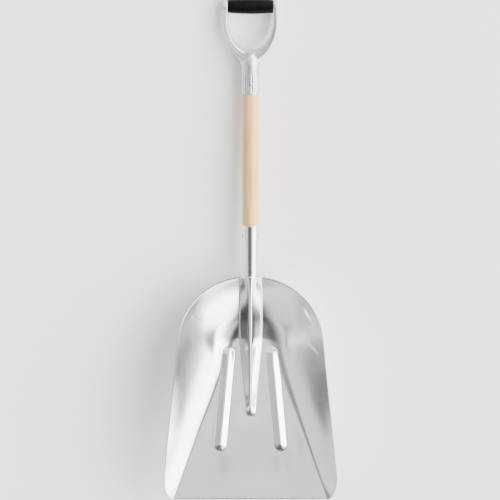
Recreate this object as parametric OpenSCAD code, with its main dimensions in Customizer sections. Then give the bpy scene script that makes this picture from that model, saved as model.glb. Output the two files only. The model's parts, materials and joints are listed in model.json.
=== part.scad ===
// Grain scoop shovel, lying on a floor on the heel of its pan and on its grip roll.
// Blade frame: X across, Y from the lip to the heel, Z out of the pan. Millimetres and degrees.

/* [Blade] */
// Half width of the pan near the lip
lip_half = 184; // [170:1:200]
// Half width where the back curve starts
back_half = 155; // [140:1:165]
// Length from the lip to the start of the back curve
side_len = 330; // [300:5:360]
// Length of the back curve
back_len = 145; // [130:1:155]
// Rim height at the lip
rim_low = 10; // [6:1:16]
// Rim height gained towards the back
rim_rise = 78; // [70:1:96]
// Sheet thickness
sheet = 2; // [1.6:0.1:2.6]

/* [Ridge and ribs] */
// Where the ridge dies out on the floor
ridge_tip = 178; // [170:1:190]
// Half width of the ridge at the rim
ridge_half = 24.5; // [22:0.5:27]
// Height of each rib
rib_h = 4.5; // [3.5:0.5:6.5]
// Half width of each rib
rib_half = 13.5; // [11:0.5:15]

/* [Handle] */
// Angle between the pan floor and the handle
lift = 20; // [17:0.5:23]
// Diameter of the wood
wood_d = 35; // [33:0.5:36]
// Socket diameter at its mouth, about flush with the wood
mouth_d = 34.6; // [34:0.1:35.4]
// Socket diameter at the rim of the pan
neck_d = 30; // [29:0.5:31]
// Length of the socket above the rim
socket_len = 119; // [110:1:130]
// Distance from the rim to the ferrule
ferrule_at = 416; // [400:1:430]

/* [Grip] */
// Distance from the rim to the rod
rod_at = 609; // [604:1:614]
// Half width over the ears
ear_half = 58; // [56:0.5:60]
// Half width between the ears
gap_half = 48.5; // [47:0.5:49]
// Depth of the yoke from front to back
yoke_depth = 25; // [22:0.5:28]
// Rod diameter
rod_d = 8; // [6:0.5:9]
// Gap all round between the rod and the roll
running = 0.05; // [0.03:0.01:0.09]
// Grip roll diameter at its middle
roll_d = 32.6; // [31:0.2:34]
// Grip roll diameter at its ends
roll_end_d = 28; // [26:0.5:29]

/* [Hidden] */
$fn = 64;
rivet_at = 92;
wood_at = 9;
seat = 17.8;
foot_r = 20;
foot_top = max(484, ferrule_at + 63);

function clamp(x, a, b) = min(max(x, a), b);
function ease(x) = let (q = clamp(x, 0, 1)) q * q * (3 - 2 * q);

// outline: straight tapering sides that run on into a rounded back
blade_len = side_len + back_len;
side_foot = 45;
function side_half(v) = back_half + (lip_half - back_half) * (side_len - v) / (side_len - side_foot);
// how far out a point lies: 1 on the outline
function back_q(v) = pow(max(0, (v - side_len) / back_len), 1.25);
function gauge(u, v) = norm([u / side_half(v), back_q(v)]);
function seek(u, a, b, n) = n == 0 ? (a + b) / 2 : let (m = (a + b) / 2)
    gauge(u, m) < 1 ? seek(u, m, b, n - 1) : seek(u, a, m, n - 1);
function top_v(u) = abs(u) < back_half ? seek(u, side_len, side_len + back_len, 26)
    : side_len - (side_len - side_foot) * (abs(u) - back_half) / (lip_half - back_half);
corner = 19;
function low_v(u) = abs(u) <= lip_half - corner ? 0
    : side_foot * (1 - sqrt(max(0, 1 - pow((abs(u) - lip_half + corner) / corner, 2))));

// floor edge, rim height and wall
floor_lip = 164;
floor_back = 51;
floor_end = 0.17;
function floor_half(v) = let (q = 1 - v / side_len) floor_back + (floor_lip - floor_back) * (q + norm([q, 0.12])) / 2;
function rim_h(v) = rim_low + rim_rise * sin(90 * clamp(v / 400, 0, 1));
function bend(s, r) = s <= -r ? 0 : s < r ? pow(s + r, 2) / (4 * r) : s;
// distance past the floor's edge, from 0 at the crease to 1 at the rim
function wall_s(u, v) = let (w = max(abs(u), 0.001), g = gauge(w, v), x = w / side_half(v) / g, y = back_q(v) / g,
    c = 1 / norm([x * side_half(v) / floor_half(v), y / floor_end])) (g - c) / (1 - c);
function wall_z(u, v) = let (s = bend(wall_s(u, v), 0.07 + 0.10 * ease(v / 300) + 0.12 * ease((v - 290) / 70)))
    rim_h(v) * (0.66 * s + 0.34 * s * s);

// ridge and ribs: a roof with a rounded apex (k) and a soft foot, over half width 1
function roof(x, k) = bend(1 - 1.06 * (norm([x, k]) - k) / (norm([1, k]) - k), 0.12);
function crest_z(v) = max(0, (v - ridge_tip) * tan(lift));
function ridge_w(v) = 11 + (ridge_half - 11) * ease((v - ridge_tip) / 200);
function ridge_k(u, v) = roof(u / ridge_w(v), 0.16 + 0.4 * ease((v - 290) / 110));
rib_low = 103;
rib_high = 325;
function rib_u(v) = 65.5 - 19 * (v - rib_low) / (312 - rib_low);
function rib_k(u, v) = let (x = (abs(u) - rib_u(v)) / rib_half,
    e = max(0, rib_low + rib_half - v, v - rib_high + rib_half) / rib_half) roof(norm([x, e]), 0.2);
function pan_z(u, v) = let (w = wall_z(u, v))
    w + max(0, crest_z(v) - w) * ridge_k(u, v) + rib_h * rib_k(u, v);

// grid: columns across, closer at the ridge, the ribs and the sides
half_cols = concat([for (i = [0:1:8]) i * 3.1], [for (i = [0:1:14]) 28 + i * 4],
    [for (a = [33:6:87]) (back_half - 0.2) * sin(a)], [for (i = [0:1:6]) back_half + (lip_half - 0.6 - back_half) * i / 6]);
cols = concat([for (i = [len(half_cols) - 1:-1:1]) -half_cols[i]], half_cols);
rows = 38;
nc = len(cols);
function at(j, i) = let (u = cols[j], a = low_v(u), b = top_v(u)) [u, a + (b - a) * i / rows];
function normal(u, v) = let (d = 0.5, gx = (pan_z(u + d, v) - pan_z(u - d, v)) / (2 * d),
    gy = (pan_z(u, v + d) - pan_z(u, v - d)) / (2 * d), n = [-gx, -gy, 1]) n / norm(n);
function top_pt(j, i) = let (p = at(j, i)) [p[0], p[1], pan_z(p[0], p[1])];
function low_pt(j, i) = let (p = at(j, i)) top_pt(j, i) - sheet * normal(p[0], p[1]);

// handle line, from the rim upwards
axis_z = crest_z(blade_len) - neck_d / 2 / cos(lift);
module on_handle() translate([0, blade_len, axis_z]) rotate([lift - 90, 0, 0]) children();
function handle_pt(s) = [0, blade_len + s * cos(lift), axis_z + s * sin(lift)];

// resting tilt: the heel and the grip touch the floor together, the grip at its roll or its foot
heel_pts = [for (j = [(nc - 1) / 2:1:nc - 1], i = [0:1:rows]) let (p = low_pt(j, i)) [p[1], p[2]]];
function drop(p, t) = -p[0] * sin(t) + p[1] * cos(t);
rod_c = [handle_pt(rod_at)[1], handle_pt(rod_at)[2]];
function heel_low(t) = min([for (p = heel_pts) drop(p, t)]);
foot_pts = [for (s = [ferrule_at + 62, foot_top]) let (p = handle_pt(s)) [p[1] + foot_r * sin(lift), p[2] - foot_r * cos(lift)]];
function grip_low(t) = min(concat([drop(rod_c, t) - roll_d / 2], [for (p = foot_pts) drop(p, t)]));
function rest(a, b, n) = n == 0 ? (a + b) / 2 : let (m = (a + b) / 2)
    grip_low(m) > heel_low(m) ? rest(m, b, n - 1) : rest(a, m, n - 1);
tilt = rest(0, 45, 30);
grip_y = rod_c[0] * cos(tilt) + rod_c[1] * sin(tilt) + roll_d / 2;
lip_y = -sheet * sin(tilt);
module lying() translate([0, -(grip_y + lip_y) / 2, -heel_low(tilt)]) rotate([-tilt, 0, 0]) children();

// yoke outline, up from its foot
arch = 575;
function ring(half, foot, e, n) = concat(
    [for (i = [0:1:n]) let (x = half * sin(-90 + 180 * i / n))
        [x, arch - (arch - foot) * pow(max(0, 1 - pow(abs(x) / half, 2)), 1 / e)]],
    [[half, rod_at + 30], [-half, rod_at + 30]]);
flare = [[20, 472], [21.9, 481], [24.6, 490], [28, 499], [24, 512]];

module blade() color("silver") difference() {
    polyhedron(
        points = concat([for (j = [0:1:nc - 1], i = [0:1:rows]) top_pt(j, i)],
            [for (j = [0:1:nc - 1], i = [0:1:rows]) low_pt(j, i)]),
        faces = let (m = rows + 1, o = nc * (rows + 1)) concat(
            [for (j = [0:1:nc - 2], i = [0:1:rows - 1], k = [0, 1]) k == 0
                ? [j * m + i, j * m + i + 1, (j + 1) * m + i + 1] : [j * m + i, (j + 1) * m + i + 1, (j + 1) * m + i]],
            [for (j = [0:1:nc - 2], i = [0:1:rows - 1], k = [0, 1]) k == 0
                ? [o + j * m + i, o + (j + 1) * m + i + 1, o + j * m + i + 1]
                : [o + j * m + i, o + (j + 1) * m + i, o + (j + 1) * m + i + 1]],
            [for (j = [0:1:nc - 2], k = [0, 1]) k == 0
                ? [j * m, (j + 1) * m, o + (j + 1) * m] : [j * m, o + (j + 1) * m, o + j * m]],
            [for (j = [0:1:nc - 2], k = [0, 1]) k == 0
                ? [j * m + rows, o + (j + 1) * m + rows, (j + 1) * m + rows]
                : [j * m + rows, o + j * m + rows, o + (j + 1) * m + rows]],
            [for (i = [0:1:rows - 1], k = [0, 1]) k == 0
                ? [i, o + i + 1, i + 1] : [i, o + i, o + i + 1]],
            [for (i = [0:1:rows - 1], k = [0, 1]) let (q = (nc - 1) * m) k == 0
                ? [q + i, q + i + 1, o + q + i + 1] : [q + i, o + q + i + 1, o + q + i]]));
    // the lip is sheared straight
    translate([-lip_half, -10, -10]) cube([2 * lip_half, 10.2, 30]);
}

module socket() color("lightgray") difference() {
    on_handle() rotate_extrude() polygon([[neck_d / 2 - sheet, -12], [neck_d / 2, -12], [neck_d / 2, 0],
        [mouth_d / 2, socket_len], [mouth_d / 2 - sheet, socket_len], [neck_d / 2 - sheet, 0]]);
    translate([-50, blade_len - 100, -50]) cube([100, 100.4, 300]);
    on_handle() translate([-40, 0, rivet_at]) rotate([0, 90, 0]) cylinder(d = 5, h = 80);
}

// the wood starts past the edge of the pan, so that it never meets the sheet there
module handle_shaft() color("burlywood") difference() {
    on_handle() rotate_extrude() polygon([[0, wood_at], [neck_d / 2 - sheet - 3, wood_at],
        [neck_d / 2 - sheet + (mouth_d - neck_d) / 2 * (wood_at + 5) / socket_len, wood_at + 5],
        [mouth_d / 2 - sheet, socket_len], [wood_d / 2, socket_len], [wood_d / 2, ferrule_at], [16.2, ferrule_at],
        [16.2, ferrule_at + 62], [0, ferrule_at + 62]]);
    on_handle() translate([-40, 0, rivet_at]) rotate([0, 90, 0]) cylinder(d = 5, h = 80);
    on_handle() translate([0, 40, ferrule_at + 25]) rotate([90, 0, 0]) cylinder(d = 5, h = 80);
}

module head(base, h) translate([0, 0, base])
    rotate_extrude() polygon([[0, 0], [4.6, 0], [4.6, h - 1.9], [3.8, h - 0.8], [2.4, h - 0.2], [0, h]]);
socket_r = mouth_d / 2 - (mouth_d - neck_d) / 2 * (socket_len - rivet_at) / socket_len;
module socket_rivet() color("gray") on_handle() {
    translate([0, 0, rivet_at]) rotate([0, 90, 0]) translate([0, 0, -socket_r - 0.5]) cylinder(d = 5, h = 2 * socket_r + 1);
    // heads set down to the round of the socket
    difference() {
        for (m = [0, 1]) mirror([m, 0, 0]) translate([0, 0, rivet_at]) rotate([0, 90, 0]) head(socket_r - 1, 3.1);
        cylinder(d1 = neck_d, d2 = mouth_d, h = socket_len);
    }
}
module ferrule_rivet() color("gray") on_handle() translate([0, 0, ferrule_at + 25]) rotate([90, 0, 0]) {
    translate([0, 0, -seat - 0.5]) cylinder(d = 5, h = 2 * seat + 1);
    for (m = [0, 1]) mirror([0, 0, m]) head(seat, 2.6);
}

module d_yoke() color("darkgray") on_handle() difference() {
    union() {
        intersection() {
            translate([0, yoke_depth, 0]) rotate([90, 0, 0]) linear_extrude(2 * yoke_depth) difference() {
                union() {
                    polygon(ring(ear_half, 487, 1.8, 40));
                    polygon(concat(flare, [for (i = [len(flare) - 1:-1:0]) [-flare[i][0], flare[i][1]]]));
                }
                polygon(ring(gap_half, 509, 1.7, 40));
            }
            union() {
                translate([-80, -yoke_depth / 2, 470]) cube([160, yoke_depth, rod_at - 470]);
                translate([-80, 0, rod_at]) rotate([0, 90, 0]) cylinder(r = 14, h = 160);
            }
        }
        difference() {
            // round at the ferrule, thinning to the yoke's depth where the arms part
            rotate_extrude() polygon([[0, ferrule_at], [18.4, ferrule_at], [18.9, ferrule_at + 44],
                [foot_r, ferrule_at + 62], [foot_r, foot_top], [17.5, 495], [13, 505], [10, 509], [0, 509]]);
            // saddle under the finger gap
            translate([0, 40, 0]) rotate([90, 0, 0]) linear_extrude(80) polygon(ring(gap_half, 509, 1.7, 40));
        }
    }
    translate([0, 0, ferrule_at - 1]) cylinder(r = 16.2, h = 63);
    for (i = [0:1:17]) rotate([0, 0, i * 20 + 10]) translate([20.3, 0, ferrule_at + 3]) cylinder(r = 2, h = 41);
    translate([0, 40, ferrule_at + 25]) rotate([90, 0, 0]) cylinder(d = 5, h = 80);
    // flat seats for the rivet heads
    for (m = [0, 1]) mirror([0, m, 0]) translate([0, -seat, ferrule_at + 25]) rotate([90, 0, 0]) cylinder(r = 5, h = 10);
    translate([-80, 0, rod_at]) rotate([0, 90, 0]) cylinder(d = rod_d, h = 160);
}

module grip_roll() color("dimgray") on_handle() translate([0, 0, rod_at]) rotate([0, 90, 0])
    rotate_extrude() polygon(let (h = gap_half - 0.3, r0 = rod_d / 2 + running) concat(
        [[r0, -h], [roll_end_d / 2 - 1.5, -h]],
        [for (i = [0:1:20]) let (z = (h - 1.5) * (i / 10 - 1))
            [roll_end_d / 2 + (roll_d - roll_end_d) / 2 * cos(90 * (i / 10 - 1)), z]],
        [[roll_end_d / 2 - 1.5, h], [r0, h]]));

module grip_rod() color("gray") on_handle() translate([0, 0, rod_at]) rotate([0, 90, 0]) {
    translate([0, 0, -ear_half]) cylinder(d = rod_d, h = 2 * ear_half);
    for (m = [0, 1]) mirror([0, 0, m]) translate([0, 0, ear_half])
        rotate_extrude() polygon([[0, -1], [rod_d / 2, -1], [rod_d / 2, 0], [6.5, 0], [6.2, 1.2], [4, 2.2], [0, 2.5]]);
}

lying() blade();
lying() socket();
lying() handle_shaft();
lying() socket_rivet();
lying() d_yoke();
lying() ferrule_rivet();
lying() grip_roll();
lying() grip_rod();
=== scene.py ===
import json
import math

import bpy
import numpy as np
from mathutils import Matrix, Vector

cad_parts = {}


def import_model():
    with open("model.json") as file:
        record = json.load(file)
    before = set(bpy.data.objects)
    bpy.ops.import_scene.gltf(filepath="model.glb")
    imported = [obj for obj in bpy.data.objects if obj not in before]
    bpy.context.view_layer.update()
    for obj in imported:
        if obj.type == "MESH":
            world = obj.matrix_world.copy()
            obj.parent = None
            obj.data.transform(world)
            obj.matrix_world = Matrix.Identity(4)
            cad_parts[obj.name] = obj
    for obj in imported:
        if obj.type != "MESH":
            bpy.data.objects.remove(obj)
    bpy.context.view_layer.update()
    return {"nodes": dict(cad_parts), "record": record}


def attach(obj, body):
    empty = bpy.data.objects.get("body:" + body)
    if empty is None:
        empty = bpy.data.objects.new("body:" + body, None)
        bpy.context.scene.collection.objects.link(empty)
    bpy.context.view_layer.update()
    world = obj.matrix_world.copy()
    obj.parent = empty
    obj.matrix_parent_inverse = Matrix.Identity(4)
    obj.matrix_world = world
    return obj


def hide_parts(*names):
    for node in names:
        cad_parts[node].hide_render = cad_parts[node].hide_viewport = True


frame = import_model()
nodes = frame["nodes"]
MM = 0.001

# The blade frame (X across, Y from lip to heel, Z out of the pan), placed by the record's sole mount,
# which lies on the underside of the sheet.
SHEET = 2.0       # mm
SOLE_AT = 80      # mm from the lip
sole = next(m for m in frame["record"]["mounts"] if m["name"] == "sole")
TILT = math.atan2(-sole["axis"][1], -sole["axis"][2])
CT, ST = math.cos(TILT), math.sin(TILT)
OFF_Y = sole["pos_m"][1] / MM - (SOLE_AT * CT - SHEET * ST)
OFF_Z = sole["pos_m"][2] / MM - (-SOLE_AT * ST - SHEET * CT)


def to_row(p):
    """Blade frame in mm to the row's frame in metres. p is an array (..., 3)."""
    x, y, z = p[..., 0], p[..., 1], p[..., 2]
    return np.stack([x, y * CT + z * ST + OFF_Y, -y * ST + z * CT + OFF_Z], -1) * MM


# ---------------------------------------------------------------- the pan's shape, as in the CAD, in mm
LIP = 184.0               # half width of the pan at the top of its rounded corners
BACK = 155.0              # half width where the back curve starts
SIDE_LEN = 330.0          # from the lip to the back curve
BACK_LEN = 145.0          # of the back curve, on the centreline
BACK_POWER = 1.25         # how full the back curve is
FOOT = 45.0               # height of the rounded corners
CORNER = 19.0             # width of the rounded corners
RIM_LOW = 10.0            # height of the rim at the lip
RIM_RISE = 78.0           # how much higher it is at the back
RIM_TOP_AT = 400          # where it stops rising
FLOOR_LIP = 164.0         # half width of the flat floor at the lip
FLOOR_BACK = 51.0         # half width of the flat floor far back
FLOOR_END = 0.17          # how far round the back curve the floor goes, of 1
LIFT = math.radians(20)   # slope of the ridge's crest and of the handle
RIDGE_TIP = 178.0         # where the ridge leaves the floor
RIDGE_THIN = 11           # half width of the ridge at its tip
RIDGE_HALF = 24.5         # half width of the ridge at its widest
RIB_H = 4.5               # height of a rib
RIB_HALF = 13.5           # half width of a rib
RIB_LOW = 103.0           # lower end of the ribs
RIB_HIGH = 325.0          # upper end of the ribs
RIB_APART = 65.5          # a rib's distance from the centreline at its lower end
RIB_LEAN = 19             # how much closer it is at RIB_LEAN_TO
RIB_LEAN_TO = 312
LEN = SIDE_LEN + BACK_LEN


def ease(x):
    q = np.clip(x, 0, 1)
    return q * q * (3 - 2 * q)


def side_half(v):
    return BACK + (LIP - BACK) * (SIDE_LEN - v) / (SIDE_LEN - FOOT)


def back_q(v):
    return np.maximum(0, (v - SIDE_LEN) / BACK_LEN) ** BACK_POWER


def gauge(u, v):
    """How far out a point lies: 1 on the outline."""
    return np.hypot(u / side_half(v), back_q(v))


def top_v(u):
    """The outline's upper edge: by halving on the back curve, straight on the sides."""
    a, b = np.full_like(u, SIDE_LEN), np.full_like(u, SIDE_LEN + BACK_LEN)
    for _ in range(26):
        m = (a + b) / 2
        inside = gauge(u, m) < 1
        a, b = np.where(inside, m, a), np.where(inside, b, m)
    side = SIDE_LEN - (SIDE_LEN - FOOT) * (np.abs(u) - BACK) / (LIP - BACK)
    return np.where(np.abs(u) < BACK, (a + b) / 2, side)


def low_v(u):
    """The outline's lower edge: the lip and its rounded corners."""
    q = np.clip((np.abs(u) - LIP + CORNER) / CORNER, 0, 1)
    return FOOT * (1 - np.sqrt(np.maximum(0, 1 - q * q)))


def bend(s, r):
    """0 below 0 and s above it, with a rounded change between -r and r."""
    return np.where(s <= -r, 0, np.where(s < r, (s + r) ** 2 / (4 * r), s))


def roof(x, k):
    """1 at x = 0, falling to 0 near 1 on nearly flat sides. A larger k rounds the top."""
    return bend(1 - 1.06 * (np.hypot(x, k) - k) / (np.hypot(1, k) - k), 0.12)


def wall_z(u, v):
    """Height of the floor and the walls. g is 1 on the outline and c is g at the floor's edge."""
    a = np.maximum(np.abs(u), 0.001)
    g = gauge(a, v)
    q = 1 - v / SIDE_LEN
    fh = FLOOR_BACK + (FLOOR_LIP - FLOOR_BACK) * (q + np.hypot(q, 0.12)) / 2
    c = 1 / np.hypot(a / g / fh, back_q(v) / g / FLOOR_END)
    s = bend((g - c) / (1 - c), 0.07 + 0.10 * ease(v / 300) + 0.12 * ease((v - 290) / 70))
    h = RIM_LOW + RIM_RISE * np.sin(np.pi / 2 * np.clip(v / RIM_TOP_AT, 0, 1))
    return h * (0.66 * s + 0.34 * s * s)


def pan_z(u, v):
    """Height of the whole pan, with its ridge and ribs."""
    w = wall_z(u, v)
    crest = np.maximum(0, (v - RIDGE_TIP) * math.tan(LIFT))
    x = u / (RIDGE_THIN + (RIDGE_HALF - RIDGE_THIN) * ease((v - RIDGE_TIP) / 200))
    ridge = roof(x, 0.16 + 0.4 * ease((v - 290) / 110))
    rib_at = RIB_APART - RIB_LEAN * (v - RIB_LOW) / (RIB_LEAN_TO - RIB_LOW)
    end = np.maximum(0, np.maximum(RIB_LOW + RIB_HALF - v, v - RIB_HIGH + RIB_HALF)) / RIB_HALF
    rib = roof(np.hypot((np.abs(u) - rib_at) / RIB_HALF, end), 0.2)
    return w + np.maximum(0, crest - w) * ridge + RIB_H * rib


def press_marks(u, v):
    """Small crimps left by the press at the shoulders, and soft swellings in the floor. The photograph
    shows them as shading only, so their depths are guesses."""
    def crimp(cu, cv, du, dv, width, length, depth):
        n = math.hypot(du, dv)
        a = ((u - cu) * du + (v - cv) * dv) / n
        b = (-(u - cu) * dv + (v - cv) * du) / n
        return depth * np.exp(-(b / width) ** 2 - (a / length) ** 2)
    marks = crimp(-120, 388, 15, -7, 2.2, 15, 0.8) + crimp(117, 396, 7, -13, 2.6, 14, -0.5)
    marks = marks + crimp(140, 320, 12, -12, 3.0, 14, 0.4)
    # soft swellings where the ribs and the ridge pull the floor
    for cu, cv, wide, tall, deep in ((-88, 128, 18, 46, 1.0), (-70, 76, 22, 30, 0.9), (70, 74, 18, 34, -0.9),
                                     (92, 118, 20, 46, 0.8), (6, 150, 36, 26, 0.9), (0, 56, 90, 40, -0.8)):
        marks = marks + deep * np.exp(-((u - cu) / wide) ** 2 - ((v - cv) / tall) ** 2)
    return marks


# ---------------------------------------------------------------- materials
def material(name, color, metallic, rough, build=None, **values):
    mat = bpy.data.materials.new(name)
    mat.use_nodes = True
    nt = mat.node_tree
    bsdf = nt.nodes["Principled BSDF"]
    bsdf.inputs["Base Color"].default_value = (*color, 1)
    bsdf.inputs["Metallic"].default_value = metallic
    bsdf.inputs["Roughness"].default_value = rough
    for k, v in values.items():
        bsdf.inputs[k.replace("_", " ")].default_value = v
    if build:
        build(nt, bsdf)
    return mat


def noise(nt, scale, stretch, detail, rough=0.55):
    co = nt.nodes.new("ShaderNodeTexCoord")
    mp = nt.nodes.new("ShaderNodeMapping")
    mp.inputs["Scale"].default_value = stretch
    nz = nt.nodes.new("ShaderNodeTexNoise")
    nz.inputs["Scale"].default_value = scale
    nz.inputs["Detail"].default_value = detail
    nz.inputs["Roughness"].default_value = rough
    nt.links.new(co.outputs["Object"], mp.inputs["Vector"])
    nt.links.new(mp.outputs["Vector"], nz.inputs["Vector"])
    return nz.outputs["Fac"]


def ramp(nt, fac, stops):
    r = nt.nodes.new("ShaderNodeValToRGB")
    while len(r.color_ramp.elements) < len(stops):
        r.color_ramp.elements.new(0.5)
    for e, (pos, col) in zip(r.color_ramp.elements, stops):
        e.position = pos
        e.color = (*col, 1)
    nt.links.new(fac, r.inputs["Fac"])
    return r.outputs["Color"]


def span(nt, fac, lo, hi, a, b):
    m = nt.nodes.new("ShaderNodeMapRange")
    for k, v in (("From Min", lo), ("From Max", hi), ("To Min", a), ("To Max", b)):
        m.inputs[k].default_value = v
    nt.links.new(fac, m.inputs["Value"])
    return m.outputs["Result"]


def bump(nt, bsdf, layers):
    last = None
    for fac, dist, strength in layers:
        b = nt.nodes.new("ShaderNodeBump")
        b.inputs["Distance"].default_value = dist
        b.inputs["Strength"].default_value = strength
        nt.links.new(fac, b.inputs["Height"])
        if last:
            nt.links.new(last, b.inputs["Normal"])
        last = b.outputs["Normal"]
    nt.links.new(last, bsdf.inputs["Normal"])


EVEN = (1, 1, 1)


def mottle(nt, bsdf, fac, dark, light, smooth, rough):
    """Lets noise carry the colour from dark to light and the roughness from smooth to rough."""
    nt.links.new(ramp(nt, fac, [(0.3, dark), (0.7, light)]), bsdf.inputs["Base Color"])
    nt.links.new(span(nt, fac, 0.3, 0.7, smooth, rough), bsdf.inputs["Roughness"])


def pan_look(nt, bsdf):
    cloud = noise(nt, 9, EVEN, 3)
    streak = noise(nt, 60, (6, 0.35, 1), 5, 0.7)
    mottle(nt, bsdf, cloud, (0.84, 0.84, 0.85), (0.93, 0.925, 0.915), 0.14, 0.21)
    bump(nt, bsdf, [(cloud, 0.004, 0.10), (streak, 0.0002, 0.10)])


# The sheet's cut edge is coloured dark: painted shade for the dark line of shadow along the lip, not a darker
# metal.
def edge_painted_shade_look(nt, bsdf):
    grit = noise(nt, 300, EVEN, 3)
    mottle(nt, bsdf, grit, (0.16, 0.16, 0.17), (0.32, 0.32, 0.33), 0.42, 0.6)
    bump(nt, bsdf, [(grit, 0.0002, 0.3)])


def wood_look(nt, bsdf):
    grain = noise(nt, 34, (5, 0.22, 5), 8, 0.62)
    pore = noise(nt, 210, (4, 0.12, 4), 4, 0.6)
    tones = [(0.28, (0.54, 0.30, 0.095)), (0.5, (0.72, 0.44, 0.155)), (0.72, (0.80, 0.52, 0.20))]
    nt.links.new(ramp(nt, grain, tones), bsdf.inputs["Base Color"])
    nt.links.new(span(nt, pore, 0.3, 0.7, 0.34, 0.46), bsdf.inputs["Roughness"])
    bump(nt, bsdf, [(pore, 0.0003, 0.18)])


def cast_look(nt, bsdf):
    cloud = noise(nt, 28, EVEN, 3)
    grit = noise(nt, 900, EVEN, 3)
    mottle(nt, bsdf, cloud, (0.56, 0.57, 0.59), (0.70, 0.71, 0.73), 0.36, 0.48)
    bump(nt, bsdf, [(grit, 0.0002, 0.2)])


def rivet_look(nt, bsdf):
    cloud = noise(nt, 240, EVEN, 3)
    mottle(nt, bsdf, cloud, (0.42, 0.42, 0.42), (0.66, 0.66, 0.65), 0.28, 0.42)
    bump(nt, bsdf, [(cloud, 0.0003, 0.2)])


def roll_look(nt, bsdf):
    cloud = noise(nt, 40, EVEN, 3)
    grit = noise(nt, 1100, EVEN, 2)
    mottle(nt, bsdf, cloud, (0.0012, 0.0012, 0.0012), (0.0022, 0.0022, 0.0022), 0.33, 0.44)
    bump(nt, bsdf, [(grit, 0.0001, 0.25)])


PAN = material("pan_metal_look", (0.8, 0.8, 0.8), 1.0, 0.22, pan_look)
WOOD = material("wood_look", (0.7, 0.5, 0.25), 0.0, 0.4, wood_look, Coat_Weight=0.35, Coat_Roughness=0.22)
CAST = material("yoke_metal_look", (0.66, 0.67, 0.69), 1.0, 0.42, cast_look)
# The dark colour given to the sheet's cut edge is painted shade.
EDGE_SHADE = material("pan_edge_painted_shade_look", (0.3, 0.3, 0.3), 1.0, 0.5, edge_painted_shade_look)
RIVET = material("rivet_metal_look", (0.6, 0.6, 0.6), 1.0, 0.35, rivet_look)
ROLL = material("roll_plastic_look", (0.015, 0.015, 0.016), 0.0, 0.38, roll_look, Specular_IOR_Level=0.08)


for name, look in (("socket", PAN), ("handle_shaft", WOOD), ("socket_rivet", RIVET), ("ferrule_rivet", RIVET),
                   ("grip_rod", RIVET), ("grip_roll", ROLL), ("d_yoke", CAST)):
    nodes[name].data.materials.clear()
    nodes[name].data.materials.append(look)


# ---------------------------------------------------------------- the pan as a fine mesh
def mesh_piece(name, verts, faces, mat, body):
    me = bpy.data.meshes.new(name)
    me.from_pydata([tuple(v) for v in verts], [], faces)
    me.validate()
    me.update()
    o = bpy.data.objects.new(name, me)
    bpy.context.scene.collection.objects.link(o)
    me.materials.append(mat)
    for p in me.polygons:
        p.use_smooth = True
    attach(o, body)
    return o


def columns():
    """Offsets from the centreline, closest over the ridge and where the outline turns fast."""
    half = np.concatenate([np.linspace(0, 30, 31), np.linspace(31.5, 84, 36),
                           (BACK - 0.2) * np.sin(np.radians(np.linspace(34, 89, 44))),
                           np.linspace(BACK + 0.4, LIP - 0.6, 22)])
    half = np.unique(np.round(half, 4))
    return np.concatenate([-half[:0:-1], half])


def pan():
    """The pressed sheet: the upper surface, the same moved by the sheet's thickness, and the edge between."""
    us = columns()
    rows = 190
    t = np.linspace(0, 1, rows + 1)
    u = np.repeat(us[:, None], rows + 1, 1)
    lo, hi = np.maximum(low_v(u), 0.2), top_v(u)
    v = lo + (hi - lo) * t[None, :]

    def shape(a, b):
        return pan_z(a, b) + press_marks(a, b)

    d = 0.4       # mm, the step that slopes are taken over
    n = np.stack([-(shape(u + d, v) - shape(u - d, v)) / (2 * d),
                  -(shape(u, v + d) - shape(u, v - d)) / (2 * d), np.ones_like(u)], -1)
    n /= np.linalg.norm(n, axis=-1, keepdims=True)
    top = np.stack([u, v, shape(u, v)], -1)
    low = top - SHEET * n
    nc, m = len(us), rows + 1
    verts = to_row(np.concatenate([top.reshape(-1, 3), low.reshape(-1, 3)]))
    under = nc * m
    faces = []
    for j in range(nc - 1):
        for i in range(rows):
            a, b = j * m + i, (j + 1) * m + i
            faces.append((a, b, b + 1, a + 1))
            faces.append((under + a, under + a + 1, under + b + 1, under + b))
    edge = ([j * m for j in range(nc)] + [(nc - 1) * m + i for i in range(1, m)]
            + [j * m + rows for j in range(nc - 2, -1, -1)] + [i for i in range(rows - 1, 0, -1)])
    skin = len(faces)
    for a, b in zip(edge, edge[1:] + edge[:1]):
        faces.append((a, under + a, under + b, b))
    piece = mesh_piece("pan", verts, faces, PAN, "shovel")
    # The edge faces get the dark edge material: painted shade along the lip and the rim.
    piece.data.materials.append(EDGE_SHADE)
    for p in list(piece.data.polygons)[skin:]:
        p.material_index = 1
        p.use_smooth = False
    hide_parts("blade")


pan()


# ---------------------------------------------------------------- the yoke as one cast piece
# Millimetres, with heights measured up the handle from the pan's rim.
NECK_R = 15.0         # radius of the socket at the rim
NECK = np.array([0.0, LEN, (LEN - RIDGE_TIP) * math.tan(LIFT) - NECK_R / math.cos(LIFT)])
EAR = 58.0            # half width of the D, outside
GAP = 48.5            # half width of the D, inside
EAR_R = 14            # radius of the ears
DEPTH = 12.5          # half depth of the arms, front to back
ROD_AT = 609.0        # height of the rod
ARCH = 575.0          # height where the straight arms turn into the arch
ARCH_LOW = 487        # height of the arch's lowest point, outside
ARCH_LOW_IN = 509     # height of the arch's lowest point, inside
FERRULE = 416.0       # lower end of the ferrule
BORE = 16.2           # radius of the ferrule's bore
BORE_LEN = 62         # depth of the ferrule's bore
FLUTES = 18
FLUTE_LEN = 45
FLUTE_DEEP = 0.8
SKIN = 17.2           # radius between the ferrule's bore and its outside
RIVET_UP = 25         # height of the rivet above FERRULE
SEAT = 17.8           # distance of the flat rivet seats from the handle's axis
SEAT_R = 5.4          # radius of the rivet seats


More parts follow.
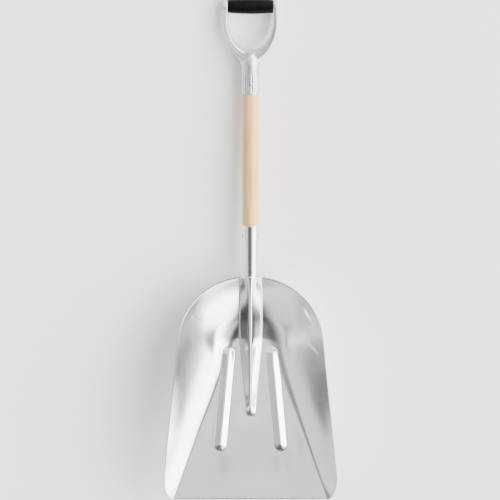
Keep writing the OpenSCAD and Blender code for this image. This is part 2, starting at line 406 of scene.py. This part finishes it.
def on_handle(p):
    """Handle frame in mm (X across, Y to the back, Z up the handle from the rim) to the row's in metres."""
    x, y, z = p[..., 0], p[..., 1], p[..., 2]
    c, s = math.cos(LIFT), math.sin(LIFT)
    return to_row(np.stack([x, NECK[1] + z * c + y * s, NECK[2] + z * s - y * c], -1))


def loft(rings, closed=False):
    """Closed skin through rings of equal length, capped at both ends unless closed."""
    n, m = len(rings), len(rings[0])
    verts = [tuple(p) for r in rings for p in r]
    faces = [(i * m + k, i * m + (k + 1) % m, ((i + 1) % n) * m + (k + 1) % m, ((i + 1) % n) * m + k)
             for i in range(n if closed else n - 1) for k in range(m)]
    if not closed:
        faces += [tuple(range(m - 1, -1, -1)), tuple((n - 1) * m + k for k in range(m))]
    return verts, faces


def arm_section(outer, inner, depth, m=36):
    """A rounded bar between an outer and an inner point (x, z), with a shallow channel on both faces."""
    o, i = np.array(outer), np.array(inner)
    a = np.linspace(0, 2 * np.pi, m, endpoint=False)
    w = np.sign(np.cos(a)) * np.abs(np.cos(a)) ** 0.62
    d = np.sign(np.sin(a)) * np.abs(np.sin(a)) ** 0.55
    channel = 1 - 0.10 * np.exp(-((w + 0.10) / 0.42) ** 2)
    mid, half = (o + i) / 2, (o - i) / 2
    return [(mid[0] + half[0] * ww, depth * dd * cc, mid[1] + half[1] * ww)
            for ww, dd, cc in zip(w, d, channel)]


def arch(x, half, low, power):
    """Height of one edge of the arch at a distance x from the centreline."""
    return ARCH - (ARCH - low) * max(0.0, 1 - (abs(x) / half) ** 2) ** (1 / power)


def yoke_shells():
    """The arms, both ears, the ferrule and its flare, as closed skins that overlap."""
    straight = np.linspace(ROD_AT, ARCH, 12)[:-1]
    rings = [arm_section((-EAR, z), (-GAP, z), DEPTH) for z in straight]
    for degrees in np.linspace(-90, 90, 121):
        s = math.sin(math.radians(degrees))
        rings.append(arm_section((EAR * s, arch(EAR * s, EAR, ARCH_LOW, 1.8)),
                                 (GAP * s, arch(GAP * s, GAP, ARCH_LOW_IN, 1.7)), DEPTH))
    rings += [arm_section((EAR, z), (GAP, z), DEPTH) for z in straight[::-1]]
    shells = [loft(rings)]
    turn = [(math.cos(a), math.sin(a)) for a in np.linspace(0, 2 * np.pi, 72, endpoint=False)]
    ear = [(GAP, EAR_R - 1.2), (GAP + 0.8, EAR_R), (EAR - 1.6, EAR_R), (EAR - 0.5, EAR_R - 0.6),
           (EAR, EAR_R - 1.8)]
    for side in (-1, 1):
        shells.append(loft([[(side * x, r * c, ROD_AT + r * s) for c, s in turn] for x, r in ear]))
    bore_end = FERRULE + BORE_LEN
    ferrule = [(BORE, FERRULE), (18.0, FERRULE), (18.4, FERRULE + 0.6), (18.9, FERRULE + 44), (20, bore_end),
               (20, 484), (17.5, 495), (13, 505), (9, 508.5), (0.05, 508.8), (0.05, bore_end), (BORE, bore_end)]
    shells.append(loft([[(r * c, r * s, z) for c, s in turn] for r, z in ferrule], closed=True))
    flare = [(20, 479.5), (21.9, 483), (24.6, 490), (28, 499), (25, 509)]
    shells.append(loft([[(x * c, DEPTH * 0.98 * s, z) for c, s in turn] for x, z in flare]))
    return shells


def yoke():
    verts, faces = [], []
    for vs, fs in yoke_shells():
        first = len(verts)
        verts += vs
        faces += [tuple(first + k for k in f) for f in fs]
    me = bpy.data.meshes.new("yoke")
    me.from_pydata([tuple(c * MM for c in v) for v in verts], [], faces)
    o = bpy.data.objects.new("yoke", me)
    bpy.context.scene.collection.objects.link(o)
    join = o.modifiers.new("join", "REMESH")
    join.mode, join.voxel_size = "VOXEL", 0.0009
    soften = o.modifiers.new("soften", "SMOOTH")
    soften.factor, soften.iterations = 0.5, 7
    done = bpy.data.meshes.new_from_object(o.evaluated_get(bpy.context.evaluated_depsgraph_get()))
    o.modifiers.clear()
    o.data = done
    p = np.empty(len(done.vertices) * 3)
    done.vertices.foreach_get("co", p)
    p = p.reshape(-1, 3) / MM
    rad, ang = np.hypot(p[:, 0], p[:, 1]), np.arctan2(p[:, 1], p[:, 0])
    # crimped flutes, ending at a line round the ferrule, and the flat seats of the rivet's heads
    band = ease((p[:, 2] - FERRULE - 3) / 3) * ease((FERRULE + FLUTE_LEN - p[:, 2]) / 2) * (rad > SKIN)
    cut = FLUTE_DEEP * band * (0.5 + 0.5 * np.cos(FLUTES * ang)) ** 1.5
    cut += 0.35 * np.exp(-((p[:, 2] - FERRULE - FLUTE_LEN - 1) / 0.9) ** 2) * (rad > SKIN)
    k = (rad - cut) / np.maximum(rad, 1e-6)
    p[:, 0] *= k
    p[:, 1] *= k
    seat = np.hypot(p[:, 0], p[:, 2] - FERRULE - RIVET_UP) < SEAT_R
    p[seat, 1] = np.clip(p[seat, 1], -SEAT, SEAT)
    done.vertices.foreach_set("co", on_handle(p).reshape(-1))
    done.materials.clear()
    done.materials.append(CAST)
    for f in done.polygons:
        f.use_smooth = True
    done.update()
    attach(o, "shovel")
    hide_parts("d_yoke")


yoke()


# ---------------------------------------------------------------- floor, light and camera
def floor():
    me = bpy.data.meshes.new("floor")
    half, z = 14, -0.0005      # metres
    corners = [(-half, -half, z), (half, -half, z), (half, half, z), (-half, half, z)]
    me.from_pydata(corners, [], [(0, 1, 2, 3)])
    o = bpy.data.objects.new("floor", me)
    bpy.context.scene.collection.objects.link(o)
    me.materials.append(material("floor_look", (0.93, 0.93, 0.93), 0.0, 0.9))


floor()


def turns(degrees):
    """Where an angle from -180 to 180 lies on a ramp from 0 to 1."""
    return (degrees + 180) / 360


def world():
    """Light by direction about the pan's own normal: broad on the right with a narrow gap beside the
    middle, dimmer on the left, and a dim stretch towards the lip. The stops were tuned until the metal
    looked like the photograph's, so they are not a finding about the room, and the studio isn't plain."""
    w = bpy.data.worlds.new("studio")
    bpy.context.scene.world = w
    w.use_nodes = True
    nt = w.node_tree
    bg = nt.nodes["Background"]
    co = nt.nodes.new("ShaderNodeTexCoord")

    def along(axis):
        d = nt.nodes.new("ShaderNodeVectorMath")
        d.operation = "DOT_PRODUCT"
        d.inputs[1].default_value = axis
        nt.links.new(co.outputs["Generated"], d.inputs[0])
        return d.outputs["Value"]

    def angle(p, q):
        m = nt.nodes.new("ShaderNodeMath")
        m.operation = "ARCTAN2"
        nt.links.new(p, m.inputs[0])
        nt.links.new(q, m.inputs[1])
        return span(nt, m.outputs[0], -math.pi, math.pi, 0, 1)

    out = along((0, ST, CT))
    across = angle(along((1, 0, 0)), out)
    to_lip = angle(along((0, -CT, ST)), out)
    sides = ramp(nt, across, [(turns(d), tuple(g * k for k in tint)) for d, g, tint in SIDES])
    ends = ramp(nt, to_lip, [(turns(d), (g, g, g)) for d, g in ENDS])
    middle = ramp(nt, across, [(turns(d), (g, g, g)) for d, g in MIDDLE])
    mix = nt.nodes.new("ShaderNodeMix")
    mix.data_type = "RGBA"
    mix.blend_type = "MULTIPLY"
    nt.links.new(middle, mix.inputs["Factor"])
    nt.links.new(sides, mix.inputs["A"])
    nt.links.new(ends, mix.inputs["B"])
    nt.links.new(mix.outputs["Result"], bg.inputs["Color"])
    bg.inputs["Strength"].default_value = WORLD


GREY, COOL, WARM = (1, 1, 1), (0.85, 0.91, 1.10), (1.04, 1.0, 0.95)
WORLD = 9.0
# Degrees from the pan's normal and brightness: SIDES across the pan, ENDS towards the lip, and MIDDLE how
# much ENDS counts at each angle across.
SIDES = [(-180, 0.05, COOL), (-112, 0.055, COOL), (-96, 0.13, WARM), (-56, 0.16, WARM), (-42, 0.09, GREY),
         (-20, 0.065, GREY), (-9, 0.14, WARM), (4, 0.17, GREY), (7, 0.022, GREY), (17, 0.022, GREY),
         (24, 1.0, GREY), (82, 1.0, GREY), (97, 0.32, COOL), (112, 0.13, COOL), (180, 0.06, COOL)]
ENDS = [(-180, 0.9), (-9, 1.0), (7, 1.0), (16, 0.2), (42, 0.2), (52, 0.06), (68, 0.06), (88, 1.0), (180, 1.0)]
MIDDLE = [(-180, 0.0), (-54, 0.0), (-32, 1.0), (32, 1.0), (54, 0.0), (180, 0.0)]
world()


def area(name, place, aim, size, power):
    light = bpy.data.lights.new(name, "AREA")
    light.shape = "RECTANGLE"
    light.size, light.size_y = size
    light.energy = power
    o = bpy.data.objects.new(name, light)
    bpy.context.scene.collection.objects.link(o)
    o.location = place
    o.rotation_euler = (Vector(aim) - Vector(place)).to_track_quat("-Z", "Y").to_euler()


area("key_right", (2.4, 0.4, 2.2), (0, 0, 0.05), (1.6, 2.4), 40)
area("fill_top", (-0.8, 2.6, 3.0), (0, 0, 0), (3.0, 3.0), 30)

# The camera looks square onto the pan's floor, from far off.
CAM_DIST = 30.0       # metres
SEEN = 1.068          # metres across the picture
LOOK_AT = np.array([-1.0, 532.0, 0.0])      # mm in the blade frame
mid = Vector(to_row(LOOK_AT))
toward = Vector((0, ST, CT))
up = Vector((0, CT, -ST))
cam = bpy.data.cameras.new("camera")
cam.sensor_width = 36
cam.lens = 36 * CAM_DIST / SEEN
cam.clip_end = 200
co = bpy.data.objects.new("camera", cam)
bpy.context.scene.collection.objects.link(co)
co.matrix_world = Matrix.Translation(mid + toward * CAM_DIST) @ Matrix(
    [[1, 0, 0], [0, up.y, toward.y], [0, up.z, toward.z]]).to_4x4()
bpy.context.scene.camera = co
